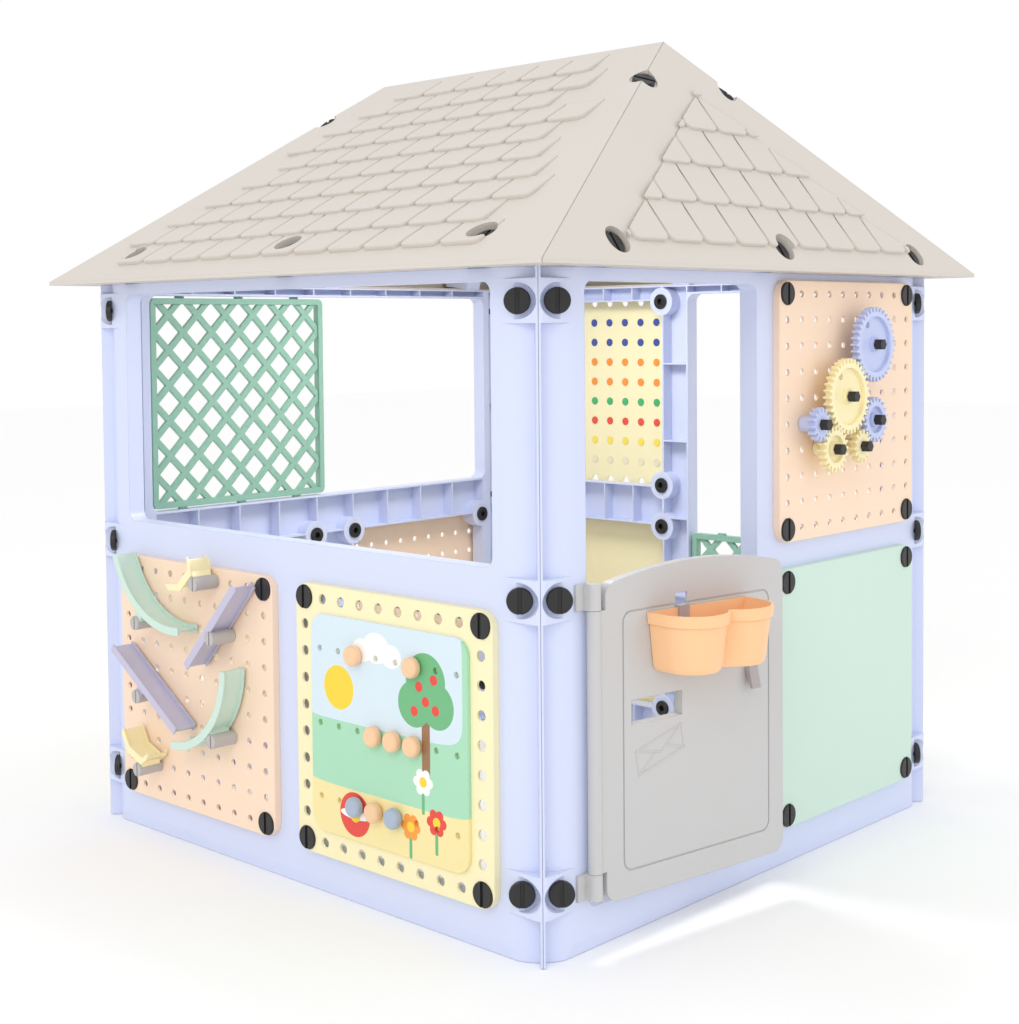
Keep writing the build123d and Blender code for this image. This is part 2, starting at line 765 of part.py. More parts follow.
def build_hinges():
    """Two hinge eyes on the column, each with its leaf lying on the wall."""
    with BuildPart() as hinges:
        for level in knuckle_levels:
            with BuildSketch(Plane(origin=(hinge_x, hinge_y, level))):
                Circle(knuckle_radius)
                with Locations((-leaf_reach / 2, -(hinge_y + wall_half + leaf_thickness / 2))):
                    Rectangle(leaf_reach, leaf_thickness)
                with Locations((-knuckle_radius / 2, -(hinge_y + wall_half) / 2)):
                    Rectangle(knuckle_radius, -(hinge_y + wall_half))
                Circle(pin_radius, mode=Mode.SUBTRACT)
            extrude(amount=knuckle_height / 2, both=True)
    return hinges.part


def build_pins():
    """A pin for each hinge, pressed into its eye and reaching into the door's pivot edge."""
    with BuildPart() as pins:
        for level, side in zip(knuckle_levels, (1, -1)):
            start = level - side * knuckle_height / 2
            with BuildSketch(Plane(origin=(hinge_x, hinge_y, start))):
                Circle(pin_radius)
            extrude(amount=side * (knuckle_height + pin_depth))
    return pins.part


def build_handle():
    """A curved pull tab on the door's face."""
    with BuildPart() as handle:
        side_view = Plane(
            origin=door_plane.from_local_coords((handle_x, 0, door_front)),
            x_dir=door_plane.z_dir,
            z_dir=-door_plane.x_dir,
        )
        with BuildSketch(side_view):
            with BuildLine():
                middle = (handle_top + handle_bottom) / 2
                Polyline(
                    (0, handle_top),
                    (handle_reach / 2, handle_top),
                    (handle_reach * 0.7, middle),
                    (handle_reach, handle_bottom),
                    (handle_reach - skin, handle_bottom),
                    (handle_reach / 2 - skin, middle),
                    (0, handle_top - handle_width / 2),
                    close=True,
                )
            make_face()
        extrude(amount=-handle_width)
    return handle.part


def planter_plan(grow):
    """Two round lobes side by side: each lobe's centre and radius."""
    radius = planter_radius + grow
    middle = (planter_left + planter_right) / 2
    offset = (planter_right - planter_left) / 2 - planter_radius
    return [(middle - offset, radius), (middle + offset, radius)]


def build_planter():
    """A two-lobed planter with a rim band, flat against the door."""
    back = door_front + planter_gap
    with BuildPart() as planter:
        for base, top, grow, inset, mode in (
            (planter_bottom, planter_top, -planter_lip, 0, Mode.ADD),
            (planter_top - planter_rim, planter_top, 0, 0, Mode.ADD),
            (planter_bottom + planter_wall, planter_top, -planter_lip, planter_wall, Mode.SUBTRACT),
        ):
            plan = Plane(
                origin=door_plane.from_local_coords((0, base, back)),
                x_dir=door_plane.x_dir,
            )
            with BuildSketch(plan):
                for middle, radius in planter_plan(grow - inset):
                    with Locations((middle, -(planter_reach - planter_radius))):
                        Circle(radius)
                    with Locations((middle, -(planter_reach - planter_radius) / 2)):
                        Rectangle(2 * radius, planter_reach - planter_radius)
                valley = planter_valley + grow - inset
                with Locations(((planter_left + planter_right) / 2, -valley / 2)):
                    Rectangle(planter_radius, valley)
                with Locations(((planter_left + planter_right) / 2, planter_reach - inset)):
                    Rectangle(planter_right, 2 * planter_reach, mode=Mode.SUBTRACT)
            extrude(amount=top - base, mode=mode)
    return planter.part


def build_hook():
    """The planter's hook: it clips over the planter's back rim and drops into the door's slot."""
    back = planter_gap + door_front
    thick = hook_thickness
    inner = back + planter_wall
    floor = hook_slot_bottom + hook_rest
    behind = door_front - skin - hook_rest
    with BuildPart() as hook:
        side_view = Plane(
            origin=door_plane.from_local_coords((hook_x, 0, 0)),
            x_dir=door_plane.z_dir,
            z_dir=-door_plane.x_dir,
        )
        with BuildSketch(side_view):
            with BuildLine():
                Polyline(
                    (inner, planter_top - hook_leg),
                    (inner, planter_top),
                    (back - seam_gap, planter_top),
                    (back - seam_gap, floor + thick + hook_rest),
                    (behind, floor + thick + hook_rest),
                    (behind, floor - hook_leg / 3),
                    (behind - thick, floor - hook_leg / 3),
                    (behind - thick, floor + 3 * thick),
                    (back - thick, floor + 3 * thick),
                    (back - thick, planter_top + thick),
                    (inner + thick, planter_top + thick),
                    (inner + thick, planter_top - hook_leg),
                    close=True,
                )
            make_face()
        extrude(amount=hook_width / 2, both=True)
    return hook.part


# ---------------------------------------------------------------- gears
gear_module = 2 * sqrt(2) * pitch / big_teeth    # two big gears sit two holes apart each way
gear_train = {
    # name: teeth, board column, board row, the gear that turns it
    "gear_big_yellow": (big_teeth, 3, 5, None),
    "gear_big_blue": (big_teeth, 5, 7, "gear_big_yellow"),
    "gear_middle_yellow": (middle_teeth, 2, 3, "gear_big_yellow"),
    "gear_middle_blue": (middle_teeth, 5, 4, "gear_big_yellow"),
    "gear_small_blue": (small_teeth, 1, 4, "gear_middle_yellow"),
    "gear_small_yellow": (small_teeth, 4, 3, "gear_middle_blue"),
}
gear_back = board_proud + gear_standoff
gear_front = gear_back + gear_thickness


def gear_place(name):
    """A gear's centre on the door wall."""
    column, row = gear_train[name][1:3]
    return first_hole + pitch * column, upper_first + pitch * row


def gear_phase(name):
    """The angle of one of a gear's teeth, in mesh with the gear that turns it."""
    teeth, _, _, driver = gear_train[name]
    if driver is None:
        return 0
    here, there = gear_place(name), gear_place(driver)
    toward = atan2(here[1] - there[1], here[0] - there[0])
    ratio = gear_train[driver][0] / teeth
    return toward + pi - ratio * (gear_phase(driver) - toward) + pi / teeth


def build_gear(name):
    """A moulded gear: toothed rim, thin web, hub with its bore, and a finger hole if large."""
    teeth = gear_train[name][0]
    radius = gear_module * teeth / 2
    root = radius - 1.25 * gear_module
    tip = radius + 0.9 * gear_module
    half = pi * tooth_share / teeth
    place = gear_place(name)
    foot = half * 1.5
    with BuildSketch() as tooth:
        with BuildLine():
            Polyline(
                ((root - 1) * cos(foot), -(root - 1) * sin(foot)),
                (radius * cos(half), -radius * sin(half)),
                (tip * cos(half * 0.45), -tip * sin(half * 0.45)),
                (tip * cos(half * 0.45), tip * sin(half * 0.45)),
                (radius * cos(half), radius * sin(half)),
                ((root - 1) * cos(foot), (root - 1) * sin(foot)),
                close=True,
            )
        make_face()
    with BuildPart() as gear:
        with BuildSketch(on(front, *place, gear_back)):
            Circle(root)
            with PolarLocations(0, teeth, start_angle=degrees(gear_phase(name))):
                add(tooth.sketch)
        extrude(amount=gear_thickness)
        if teeth > small_teeth:
            with BuildSketch(on(front, *place, gear_back + gear_thickness / 2)):
                Circle(root - 2 * skin)
                Circle(gear_hub_radius, mode=Mode.SUBTRACT)
            extrude(amount=gear_thickness / 2, mode=Mode.SUBTRACT)
        with BuildSketch(on(front, *place, board_proud + 1)):
            Circle(gear_hub_radius)
        extrude(amount=gear_standoff - 1)
        if teeth == big_teeth:
            with BuildSketch(on(front, place[0] - radius * 0.3, place[1] + radius * 0.55, gear_back)):
                Circle(barrel_radius / 2)
            extrude(amount=gear_thickness, mode=Mode.SUBTRACT)
        with BuildSketch(on(front, *place, 0)):
            Circle(axle_radius + spin_play)
        extrude(amount=gear_front, mode=Mode.SUBTRACT)
    return gear.part


def build_axles():
    """The gears' axles: a six-sided knob in front and a collar behind the board."""
    with BuildPart() as axles:
        for name in gear_train:
            place = gear_place(name)
            with BuildSketch(on(front, *place, gear_front + 0.5)):
                RegularPolygon(axle_knob * 0.72, 6)
            extrude(amount=axle_knob)
            with BuildSketch(on(front, *place, board_proud - board_plate - rib)):
                Circle(axle_radius)
            extrude(amount=gear_front + 0.5 - board_proud + board_plate + rib)
            with BuildSketch(on(front, *place, board_proud - board_plate - rib)):
                Circle(axle_radius + 1.5)
            extrude(amount=rib - 0.2)
    return axles.part


# ---------------------------------------------------------------- ramps and cups
def hole_place(column, row):
    """A hole of the lower boards that lie away from the doorway, as (across, height)."""
    return -(first_hole + pitch * column), lower_first + pitch * row


barrels = {
    "barrel_mint_long": hole_place(7, 7),
    "barrel_cup_high": hole_place(3, 9),
    "barrel_mauve_high": hole_place(2, 7),
    "barrel_mauve_low": hole_place(7, 4),
    "barrel_mint_short": hole_place(2, 3),
    "barrel_cup_low": hole_place(7, 1),
}
straight_ramps = {
    # name: barrel, top end of its walls' lower edge, bottom end, all from the barrel
    "ramp_mauve_high": ("barrel_mauve_high", (69, 83), (-60, -58)),
    "ramp_mauve_low": ("barrel_mauve_low", (-72, 68), (105, -46)),
}
curved_ramps = {
    # name: barrel, centre of the curve from the barrel, lower wall radius, start and end angles
    "ramp_mint_long": ("barrel_mint_long", (101, 166), 173, 180 + 20, 180 + 97),
    "ramp_mint_short": ("barrel_mint_short", (-108, 116), 146, 0, -90),
}
cups = {"cup_high": ("barrel_cup_high", 64), "cup_low": ("barrel_cup_low", 0)}
cup_profile = [(-44, 53), (-27, 24), (10, 10), (27, 21)]
saddle_half = 8.0


def build_ramp(barrel, points, upward):
    """A trough whose lower wall edge runs through the points, seen from its barrel."""
    place = on(left, *barrels[barrel])
    near = board_proud + ramp_gap
    rest = points[len(points) // 2 - 1]
    distance = -(rest[0] * upward[0] + rest[1] * upward[1])
    lift = abs(distance) + ramp_below + ramp_floor / 2
    across = (-upward[1] * saddle_half, upward[0] * saddle_half)
    top = (upward[0] * lift, upward[1] * lift)
    with BuildPart() as ramp:
        for low, high, start, width in (
            (0, ramp_height, near, ramp_wall),
            (0, ramp_height, near + ramp_width - ramp_wall, ramp_wall),
            (ramp_below, ramp_below + ramp_floor, near, ramp_width),
        ):
            edge = [(x + upward[0] * low, z + upward[1] * low) for x, z in points]
            other = [(x + upward[0] * high, z + upward[1] * high) for x, z in reversed(points)]
            with BuildSketch(on(place, 0, 0, start)):
                with BuildLine():
                    Polyline(*edge, *other, close=True)
                make_face()
            extrude(amount=width)
        # saddle between the trough's floor and the barrel
        with BuildSketch(on(place, 0, 0, near + ramp_wall)):
            with BuildLine():
                Polyline(
                    across,
                    (top[0] + across[0], top[1] + across[1]),
                    (top[0] - across[0], top[1] - across[1]),
                    (-across[0], -across[1]),
                    close=True,
                )
            make_face()
        extrude(amount=ramp_width - 2 * ramp_wall)
        with BuildSketch(place):
            Circle(barrel_radius + ramp_tilt_play)
        extrude(amount=near + 2 * ramp_width, mode=Mode.SUBTRACT)
    return ramp.part


def build_curved_ramp(barrel, centre, radius, start_angle, end_angle):
    """A trough bent to an arc, with the same section and saddle as a straight one."""
    place = on(left, *barrels[barrel])
    near = board_proud + ramp_gap
    distance = hypot(*centre)
    upward = (centre[0] / distance, centre[1] / distance)
    lift = distance - radius + ramp_below + ramp_floor / 2
    across = (-upward[1] * saddle_half, upward[0] * saddle_half)
    top = (upward[0] * lift, upward[1] * lift)
    turn = end_angle - start_angle
    with BuildPart() as ramp:
        for low, high, start, width in (
            (0, ramp_height, near, ramp_wall),
            (0, ramp_height, near + ramp_width - ramp_wall, ramp_wall),
            (ramp_below, ramp_below + ramp_floor, near, ramp_width),
        ):
            with BuildSketch(on(place, 0, 0, start)):
                with BuildLine():
                    outer = CenterArc(centre, radius - low, start_angle, turn)
                    inner = CenterArc(centre, radius - high, start_angle, turn)
                    Line(outer @ 0, inner @ 0)
                    Line(outer @ 1, inner @ 1)
                make_face()
            extrude(amount=width)
        with BuildSketch(on(place, 0, 0, near + ramp_wall)):
            with BuildLine():
                Polyline(
                    across,
                    (top[0] + across[0], top[1] + across[1]),
                    (top[0] - across[0], top[1] - across[1]),
                    (-across[0], -across[1]),
                    close=True,
                )
            make_face()
        extrude(amount=ramp_width - 2 * ramp_wall)
        with BuildSketch(place):
            Circle(barrel_radius + ramp_tilt_play)
        extrude(amount=near + 2 * ramp_width, mode=Mode.SUBTRACT)
    return ramp.part


def slope_up(points):
    """The upward direction square to the middle stretch of a run of points."""
    (x0, z0), (x1, z1) = points[len(points) // 2 - 1], points[len(points) // 2]
    length = hypot(x1 - x0, z1 - z0)
    across = ((z0 - z1) / length, (x1 - x0) / length)
    away = across[0] * x0 + across[1] * z0
    return across if away > 0 else (-across[0], -across[1])


def turned(points, degrees_round):
    """Points turned about the barrel."""
    turn = radians(degrees_round)
    return [(x * cos(turn) - z * sin(turn), x * sin(turn) + z * cos(turn)) for x, z in points]


def build_barrel(name):
    """A ramp's barrel: its stem turns in a hole of the board, and a slot crosses its end."""
    place = on(left, *barrels[name])
    with BuildPart() as barrel:
        with BuildSketch(on(place, 0, 0, board_proud + barrel_gap)):
            Circle(barrel_radius)
        extrude(amount=barrel_length)
        with BuildSketch(on(place, 0, 0, board_proud + barrel_gap + barrel_length - slot_depth)):
            Rectangle(slot_width / 2, 2 * barrel_radius)
        extrude(amount=slot_depth, mode=Mode.SUBTRACT)
        with BuildSketch(on(place, 0, 0, board_proud - board_plate - rib)):
            Circle(small_hole_radius - spin_play)
        extrude(amount=board_plate + rib + barrel_gap)
        with BuildSketch(on(place, 0, 0, board_proud - board_plate - rib)):
            Circle(small_hole_radius + 1.5)
        extrude(amount=rib - 0.3)
    return barrel.part


# ---------------------------------------------------------------- picture sheet and beads
sheet_size = (holes - 2) * pitch
bead_columns = {"bead_blue_left": (5, 0), "bead_peach_low": (4, 0), "bead_blue_right": (3, 0),
                "bead_middle_left": (6, 1), "bead_middle": (5, 1), "bead_middle_right": (4, 1),
                "bead_top_left": (6, 2), "bead_top_right": (3, 2)}


def bead_place(name):
    """A bead's hole in the picture sheet."""
    column, row = bead_columns[name]
    return first_hole + pitch * column, bead_rows[row]


def build_sheet():
    """The picture sheet: a thin rounded plate with rows of peg holes and four studs behind."""
    face = on(left, board_middle, lower_middle, board_proud)
    with BuildPart() as sheet:
        with BuildSketch(face):
            RectangleRounded(sheet_size, sheet_size, board_corner)
        extrude(amount=sheet_thickness)
        fillet(sheet.faces().sort_by(Axis(left.origin, left.z_dir))[-1].edges(), 1.5)
        with BuildSketch(on(face, 0, 0, -board_plate)):
            with GridLocations(sheet_size - pitch, sheet_size - pitch, 2, 2):
                Circle(big_hole_radius - thread_play)
        extrude(amount=board_plate)
        with BuildSketch(left):
            for row in bead_rows:
                with Locations(*[(first_hole + pitch * column, row) for column in range(1, holes - 1)]):
                    Circle(bead_stem_radius + bead_play)
        extrude(amount=board_proud + sheet_thickness, mode=Mode.SUBTRACT)
    return sheet.part


def build_bead(name):
    """A round knob with a stem that plugs into the picture sheet."""
    base = board_proud + sheet_thickness + bead_gap
    place = bead_place(name)
    with BuildPart() as bead:
        with BuildSketch(on(left, *place, base)):
            Circle(bead_radius)
        extrude(amount=bead_height)
        fillet(bead.edges().filter_by(GeomType.CIRCLE), bead_height * 0.4)
        with BuildSketch(on(left, *place, base - bead_gap - bead_stem)):
            Circle(bead_stem_radius)
        extrude(amount=bead_stem + 2 * bead_gap)
    return bead.part


def build_mosaic():
    """Coloured pegs that fill the middle of the upper yellow board beside the side doorway."""
    with BuildPart() as pegs:
        with BuildSketch(on(right, board_middle, upper_middle, board_proud)):
            with GridLocations(pitch, pitch, holes - 2, holes - 2):
                Circle(big_hole_radius + 2)
        extrude(amount=skin)
        with BuildSketch(on(right, board_middle, upper_middle, board_proud - board_plate - 1)):
            with GridLocations(pitch, pitch, holes - 2, holes - 2):
                Circle(big_hole_radius - thread_play)
        extrude(amount=board_plate + 1)
    return pegs.part


# ---------------------------------------------------------------- fasteners in place
board_rows = {
    # name: wall, across, height, hole radius
    "board_gears": (front, board_middle, upper_middle, small_hole_radius),
    "board_mint": (front, board_middle, lower_middle, 0),
    "board_mosaic": (right, board_middle, upper_middle, big_hole_radius),
    "board_yellow_plain": (right, board_middle, lower_middle, 0),
    "board_yellow_back": (back, board_middle, lower_middle, big_hole_radius),
    "board_peach_back": (back, -board_middle, lower_middle, small_hole_radius),
    "board_picture": (left, board_middle, lower_middle, big_hole_radius),
    "board_ramps": (left, -board_middle, lower_middle, small_hole_radius),
}
corners = [(-1, -1), (1, -1), (1, 1), (-1, 1)]
corner_shank = corner_bracket_end - corner_seat


def corner_places(depth):
    """The corner screws' places at this depth in from the sharp corners."""
    return [
        on(corner_plane(*corner, height), side * corner_side, 0, -depth)
        for corner in corners
        for height in corner_heights
        for side in (-1, 1)
    ]


def board_places(proud):
    """The board screws' places, this far out from the walls' outer faces."""
    half = board_span / 2
    return [
        on(face, across + side * half, height + up * half, proud)
        for face, across, height, _ in board_rows.values()
        for side in (-1, 1)
        for up in (-1, 1)
    ]


def group(piece, places):
    """Copies of one fastener as separate solids in one part."""
    with BuildPart() as copies:
        for place in places:
            with Locations(place.location):
                add(piece)
    return copies.part


def build_corner_brackets():
    """Plates behind the corner blocks that clamp two walls together."""
    with BuildPart() as brackets:
        for corner in corners:
            for height in corner_heights:
                place = on(corner_plane(*corner, height), 0, 0, -corner_block - seam_gap)
                with BuildSketch(place):
                    RectangleRounded(bracket_width, bracket_height, skin)
                extrude(amount=-bracket_thickness)
                with BuildSketch(place):
                    with Locations((-corner_side, 0), (corner_side, 0)):
                        Circle(shank_radius + skin)
                extrude(amount=-(corner_bracket_end - corner_block - seam_gap))
                with BuildSketch(place):
                    with Locations((-corner_side, 0), (corner_side, 0)):
                        Circle(shank_radius + thread_play)
                extrude(amount=-corner_block, mode=Mode.SUBTRACT)
    return brackets.part


def build_hip_brackets():
    """Discs under the roof's hips that clamp two panels together."""
    with BuildPart() as brackets:
        for hip in hip_places:
            place = on(hip, 0, 0, -roof_floor - seam_gap)
            with BuildSketch(place):
                Circle(head_radius)
            extrude(amount=-bracket_thickness)
            with BuildSketch(place):
                Circle(shank_radius + skin)
            extrude(amount=-(roof_pocket_depth + roof_shank - roof_floor))
            with BuildSketch(place):
                Circle(shank_radius + thread_play)
            extrude(amount=-corner_block, mode=Mode.SUBTRACT)
    return brackets.part


# ---------------------------------------------------------------- all pieces
pieces = {
    "wall_front": door_wall(front),
    "wall_right": door_wall(right),
    "wall_back": window_wall(back),
    "wall_left": window_wall(left),
    "roof_front": build_roof_panel(0, -1),
    "roof_right": build_roof_panel(1, 0),
    "roof_back": build_roof_panel(0, 1),
    "roof_left": build_roof_panel(-1, 0),
}
for name, row in board_rows.items():
    pieces[name] = build_board(*row)
lattice_rise = clip_size + lattice_height / 2
lattice_middle = window_half - opening_corner / 2 - lattice_size / 2
pieces["lattice_window"] = build_lattice(back, lattice_middle, window_sill + lattice_rise)
pieces["lattice_door"] = build_lattice(right, (door_far + door_near) / 2, door_sill + lattice_rise)
pieces["corner_screws"] = group(slotted_screw(corner_shank), corner_places(corner_seat))
pieces["corner_brackets"] = build_corner_brackets()
pieces["board_screws"] = group(slotted_screw(board_shank), board_places(board_proud - screw_sink))
nut_places = [
    Plane(origin=place.origin, x_dir=place.x_dir, z_dir=-place.z_dir)
    for place in board_places(-wall_depth)
]
pieces["board_nuts"] = group(hollow_nut(wall_depth - skin - 1), nut_places)
seats = [on(place, 0, 0, -roof_pocket_depth) for places in screw_places.values() for place in places]
seats += [on(place, 0, 0, -roof_pocket_depth) for place in hip_places]
pieces["roof_screws"] = group(slotted_screw(roof_shank), seats)
pieces["hip_brackets"] = build_hip_brackets()
pieces["door_panel"] = build_door()
pieces["door_hinges"] = build_hinges()
pieces["hinge_pins"] = build_pins()
pieces["door_handle"] = build_handle()
pieces["planter"] = build_planter()
pieces["planter_hook"] = build_hook()
for name in gear_train:
    pieces[name] = build_gear(name)
pieces["gear_axles"] = build_axles()
for name in barrels:
    pieces[name] = build_barrel(name)
for name, (barrel, *points) in straight_ramps.items():
    pieces[name] = build_ramp(barrel, points, slope_up(points))
for name, values in curved_ramps.items():
    pieces[name] = build_curved_ramp(*values)
for name, (barrel, turn) in cups.items():
    points = turned(cup_profile, turn)
    pieces[name] = build_ramp(barrel, points, slope_up(points))
pieces["picture_sheet"] = build_sheet()
for name in bead_columns:
    pieces[name] = build_bead(name)
pieces["mosaic_pegs"] = build_mosaic()

os.makedirs("parts", exist_ok=True)
for name, piece in pieces.items():
    piece.label = name
    export_step(piece, f"parts/{name}.step")
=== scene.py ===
from math import atan2, cos, hypot, pi, radians, sin

import bmesh
import bpy
from mathutils import Matrix, Vector


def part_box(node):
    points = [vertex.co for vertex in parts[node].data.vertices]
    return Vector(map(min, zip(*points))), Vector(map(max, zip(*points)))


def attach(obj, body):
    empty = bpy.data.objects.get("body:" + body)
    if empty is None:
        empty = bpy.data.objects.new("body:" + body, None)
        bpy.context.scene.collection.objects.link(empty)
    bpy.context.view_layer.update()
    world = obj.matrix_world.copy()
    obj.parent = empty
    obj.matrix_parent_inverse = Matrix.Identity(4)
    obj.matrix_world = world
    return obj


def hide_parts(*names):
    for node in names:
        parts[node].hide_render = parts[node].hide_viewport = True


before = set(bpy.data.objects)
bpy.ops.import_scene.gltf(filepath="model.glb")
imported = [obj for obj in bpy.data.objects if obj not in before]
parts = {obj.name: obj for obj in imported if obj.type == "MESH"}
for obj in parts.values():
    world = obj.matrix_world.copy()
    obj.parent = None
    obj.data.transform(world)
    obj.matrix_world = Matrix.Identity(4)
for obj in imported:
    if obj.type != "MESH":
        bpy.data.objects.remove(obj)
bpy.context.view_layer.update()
scene = bpy.context.scene

# ------------------------------------------------------------------ studio
# A seamless white studio: a floor that the house stands on, a soft light from the side with the
# picture board, a weaker one from the door side, a small one under the roof, and an even white sky.
camera = bpy.data.objects.new("camera", bpy.data.cameras.new("camera"))
scene.collection.objects.link(camera)
camera.location = (-2.0792, -1.9097, 0.8552)
camera.rotation_euler = (radians(87.5755), radians(0.5469), radians(-46.1878))
camera.data.lens = 56.25
camera.data.shift_x = 0.0288
camera.data.shift_y = -0.1137
scene.camera = camera
scene.view_settings.view_transform = "Standard"


def soft_light(name, place, size, power, aim):
    lamp = bpy.data.lights.new(name, "AREA")
    lamp.shape = "DISK"
    lamp.size = size
    lamp.energy = power
    holder = bpy.data.objects.new(name, lamp)
    holder.location = place
    holder.rotation_euler = (Vector(aim) - Vector(place)).to_track_quat("-Z", "Y").to_euler()
    holder.visible_camera = False
    scene.collection.objects.link(holder)


soft_light("key_light", (-3.6, -1.6, 3.0), 1.8, 26, (0, 0, 0.6))
soft_light("fill_light", (1.6, -4.2, 1.8), 2.0, 7, (0, 0, 0.5))
soft_light("indoor_light", (0, 0, 1.10), 0.4, 5, (0, 0, 0))
sky = bpy.data.worlds.new("studio_sky")
scene.world = sky
sky.use_nodes = True
sky.node_tree.nodes["Background"].inputs["Color"].default_value = (1, 1, 1, 1)
sky.node_tree.nodes["Background"].inputs["Strength"].default_value = 1.0

ground = bmesh.new()
bmesh.ops.create_grid(ground, x_segments=1, y_segments=1, size=14)
floor_mesh = bpy.data.meshes.new("floor")
ground.to_mesh(floor_mesh)
ground.free()
floor = bpy.data.objects.new("floor", floor_mesh)
scene.collection.objects.link(floor)
floor_gap = 0.0005
floor.location.z = -floor_gap
paper = bpy.data.materials.new("studio_paper")
paper.use_nodes = True
paper.node_tree.nodes["Principled BSDF"].inputs["Base Color"].default_value = (0.98, 0.98, 0.98, 1)
paper.node_tree.nodes["Principled BSDF"].inputs["Roughness"].default_value = 0.9
floor.data.materials.append(paper)


# ------------------------------------------------------------------ moulded plastic
# Every part is injection moulded or blown plastic: a fine matt grain over a slightly wavy skin,
# with the colour a little uneven where the melt flowed.
def make_moulded_skin():
    group = bpy.data.node_groups.new("moulded_skin", "ShaderNodeTree")
    sockets = group.interface
    sockets.new_socket("Colour", in_out="INPUT", socket_type="NodeSocketColor")
    for label, value in (("Grain size", 900.0), ("Mottle", 0.05), ("Roughness", 0.45)):
        socket = sockets.new_socket(label, in_out="INPUT", socket_type="NodeSocketFloat")
        socket.default_value = value
    sockets.new_socket("Colour", in_out="OUTPUT", socket_type="NodeSocketColor")
    sockets.new_socket("Roughness", in_out="OUTPUT", socket_type="NodeSocketFloat")
    sockets.new_socket("Height", in_out="OUTPUT", socket_type="NodeSocketFloat")
    nodes, links = group.nodes, group.links
    inside = nodes.new("NodeGroupInput")
    outside = nodes.new("NodeGroupOutput")
    place = nodes.new("ShaderNodeTexCoord")

    def noise(scale, detail):
        texture = nodes.new("ShaderNodeTexNoise")
        texture.inputs["Scale"].default_value = scale
        texture.inputs["Detail"].default_value = detail
        links.new(place.outputs["Object"], texture.inputs["Vector"])
        return texture

    def maths(operation, first, second):
        node = nodes.new("ShaderNodeMath")
        node.operation = operation
        for index, value in enumerate((first, second)):
            if isinstance(value, (int, float)):
                node.inputs[index].default_value = value
            else:
                links.new(value, node.inputs[index])
        return node.outputs[0]

    grain = noise(900, 2)
    links.new(inside.outputs["Grain size"], grain.inputs["Scale"])
    waves = noise(9, 2)
    flow = noise(2.3, 5)
    # colour: a little lighter and darker along the melt's flow
    drift = maths("SUBTRACT", flow.outputs["Fac"], 0.5)
    shift = maths("MULTIPLY", drift, inside.outputs["Mottle"])
    bright = maths("ADD", shift, 1.0)
    tint = nodes.new("ShaderNodeVectorMath")
    tint.operation = "SCALE"
    links.new(inside.outputs["Colour"], tint.inputs[0])
    links.new(bright, tint.inputs["Scale"])
    links.new(tint.outputs[0], outside.inputs["Colour"])
    # roughness: smoother where the skin waves outwards
    uneven = maths("MULTIPLY", maths("SUBTRACT", waves.outputs["Fac"], 0.5), 0.12)
    links.new(maths("ADD", inside.outputs["Roughness"], uneven), outside.inputs["Roughness"])
    # height: the fine grain on the slow waves
    fine = maths("MULTIPLY", grain.outputs["Fac"], 0.35)
    wavy = maths("MULTIPLY", waves.outputs["Fac"], 1.2)
    links.new(maths("ADD", fine, wavy), outside.inputs["Height"])
    return group


moulded_skin = make_moulded_skin()


def moulded(name, colour, roughness=0.42, mottle=0.05, grain=900, depth=0.0004, soften=0.0012):
    """A moulded plastic of this colour. soften rounds its edges in the shading, in metres."""
    material = bpy.data.materials.new(name)
    material.use_nodes = True
    nodes, links = material.node_tree.nodes, material.node_tree.links
    shader = nodes["Principled BSDF"]
    shader.inputs["IOR"].default_value = 1.49
    shader.inputs["Specular IOR Level"].default_value = 0.42
    skin = nodes.new("ShaderNodeGroup")
    skin.node_tree = moulded_skin
    skin.inputs["Colour"].default_value = (*colour, 1)
    skin.inputs["Grain size"].default_value = grain
    skin.inputs["Mottle"].default_value = mottle
    skin.inputs["Roughness"].default_value = roughness
    bump = nodes.new("ShaderNodeBump")
    bump.inputs["Strength"].default_value = 0.35
    bump.inputs["Distance"].default_value = depth
    edge = nodes.new("ShaderNodeBevel")
    edge.samples = 4
    edge.inputs["Radius"].default_value = soften
    links.new(edge.outputs["Normal"], bump.inputs["Normal"])
    links.new(skin.outputs["Colour"], shader.inputs["Base Color"])
    links.new(skin.outputs["Roughness"], shader.inputs["Roughness"])
    links.new(skin.outputs["Height"], bump.inputs["Height"])
    links.new(bump.outputs["Normal"], shader.inputs["Normal"])
    return material


def finish_nodes(material, *names):
    """Gives CAD pieces their material in place of the plain one."""
    for name in names:
        slots = parts[name].material_slots
        if not slots:
            parts[name].data.materials.append(material)
        for slot in slots:
            slot.material = material


def piece_from(shape, name, material, body, smooth=True):
    """Turns a finished bmesh into a piece that rides on a body."""
    mesh = bpy.data.meshes.new(name)
    bmesh.ops.recalc_face_normals(shape, faces=shape.faces)
    shape.to_mesh(mesh)
    shape.free()
    for face in mesh.polygons:
        face.use_smooth = smooth
    piece = bpy.data.objects.new(name, mesh)
    scene.collection.objects.link(piece)
    mesh.materials.append(material)
    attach(piece, body)
    return piece


# ------------------------------------------------------------------ wall frames
# Four blown frames of pale lilac blue, with rounded corner columns, deep bolt bosses and ribbed
# channels on the inside. Two hold a doorway and two a wide window.
lilac = moulded("lilac_frame", (0.665, 0.72, 0.93), roughness=0.36, mottle=0.04, soften=0.002)
finish_nodes(lilac, "wall_front", "wall_right", "wall_back", "wall_left",
             "corner_brackets", "hip_brackets")

